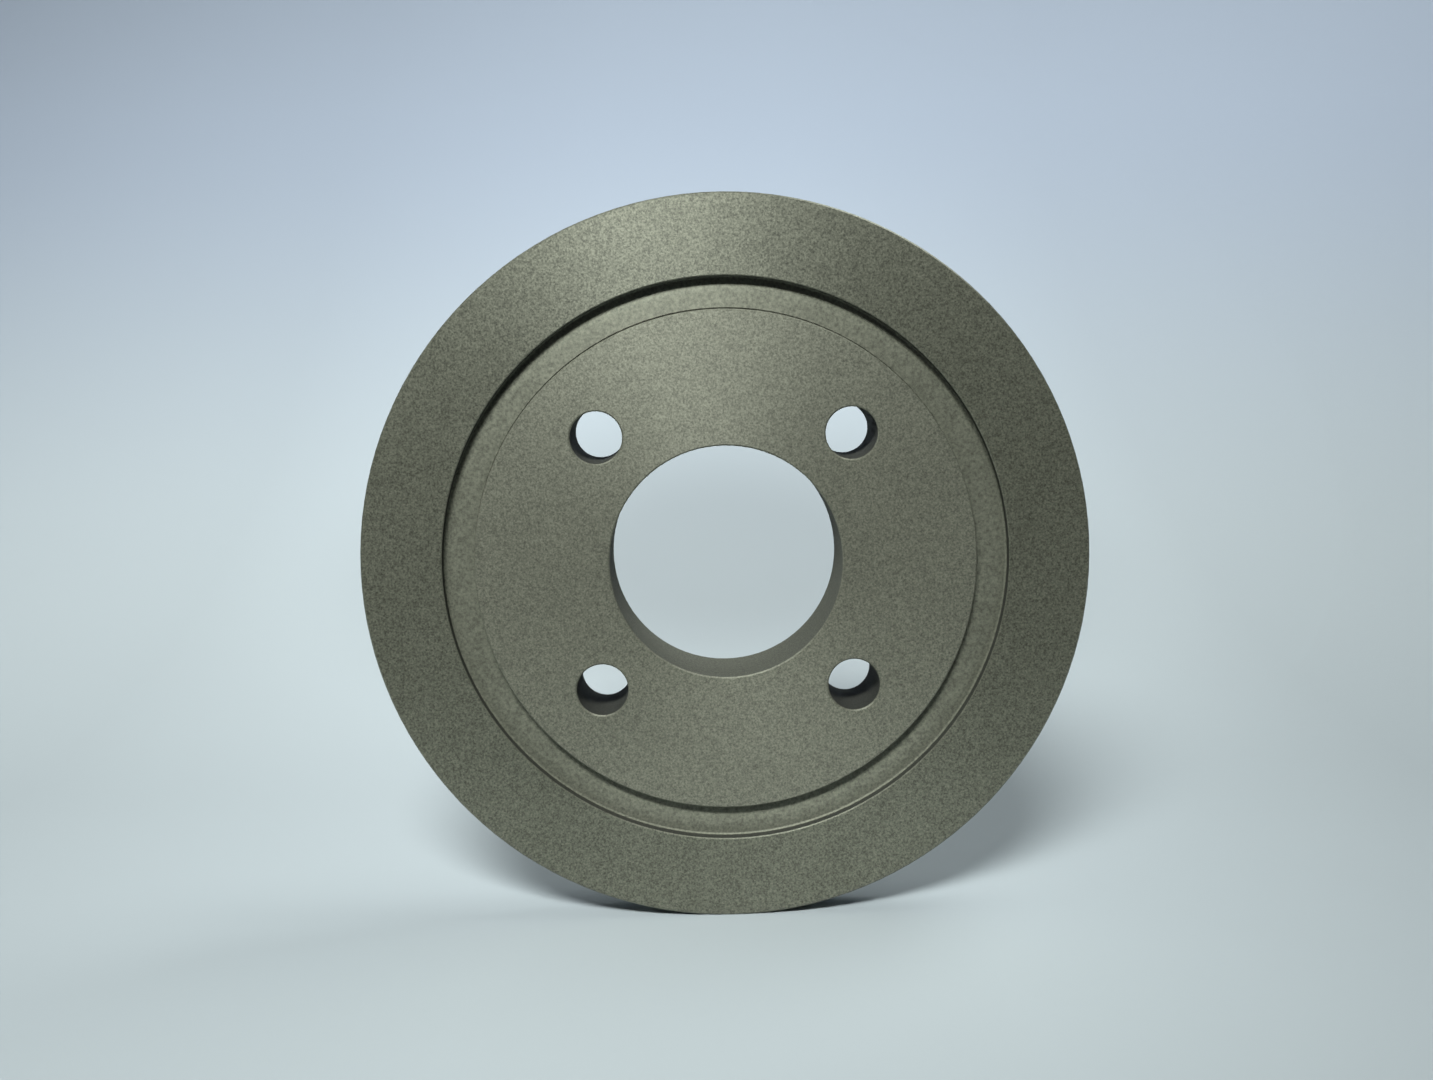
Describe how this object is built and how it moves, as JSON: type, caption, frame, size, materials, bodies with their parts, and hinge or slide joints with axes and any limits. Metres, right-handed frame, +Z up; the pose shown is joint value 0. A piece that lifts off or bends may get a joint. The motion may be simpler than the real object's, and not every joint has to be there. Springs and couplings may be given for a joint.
{
  "type": "brake disc rotor",
  "caption": "Semi-floating brake disc rotor: a thick flat hub with a centre bore and bolt holes carries a friction ring on sprung drive buttons behind a recessed groove.",
  "frame": {"origin": "on the rotor's axis, in the centre bore, halfway through the hub", "axes": "+Y along the axis, out of the face that bolts to the wheel hub; -Y out of the visible outboard face; +Z up as the rotor stands on its edge"},
  "size_m": [0.203, 0.0286, 0.203],
  "materials": {
    "hub_hardcoat": "matt olive-grey hard anodising on fine-blasted aluminium",
    "ring_hardcoat": "matt olive-grey hard anodising, faintly turned tracks and a coarser web",
    "button_steel": "turned stainless steel",
    "spring_steel": "bare spring steel",
    "screw_steel": "black oxide"
  },
  "bodies": {
    "carrier": {"hub_carrier": "hub_hardcoat"},
    "ring": {"friction_ring": "ring_hardcoat", "drive_button_1": "button_steel", "spring_washer_1": "spring_steel", "button_screw_1": "screw_steel", "drive_button_2": "button_steel", "spring_washer_2": "spring_steel", "button_screw_2": "screw_steel", "drive_button_3": "button_steel", "spring_washer_3": "spring_steel", "button_screw_3": "screw_steel", "drive_button_4": "button_steel", "spring_washer_4": "spring_steel", "button_screw_4": "screw_steel", "drive_button_5": "button_steel", "spring_washer_5": "spring_steel", "button_screw_5": "screw_steel", "drive_button_6": "button_steel", "spring_washer_6": "spring_steel", "button_screw_6": "screw_steel", "drive_button_7": "button_steel", "spring_washer_7": "spring_steel", "button_screw_7": "screw_steel", "drive_button_8": "button_steel", "spring_washer_8": "spring_steel", "button_screw_8": "screw_steel"}
  },
  "joints": [
    {"name": "ring_float", "type": "slide", "parent": "carrier", "child": "ring", "axis": [0, -1, 0], "range_m": [0, 0.0003], "stiffness_N_per_m": 100000, "springref_m": -0.0004, "deforming": ["spring_washer_1", "spring_washer_2", "spring_washer_3", "spring_washer_4", "spring_washer_5", "spring_washer_6", "spring_washer_7", "spring_washer_8"]}
  ]
}
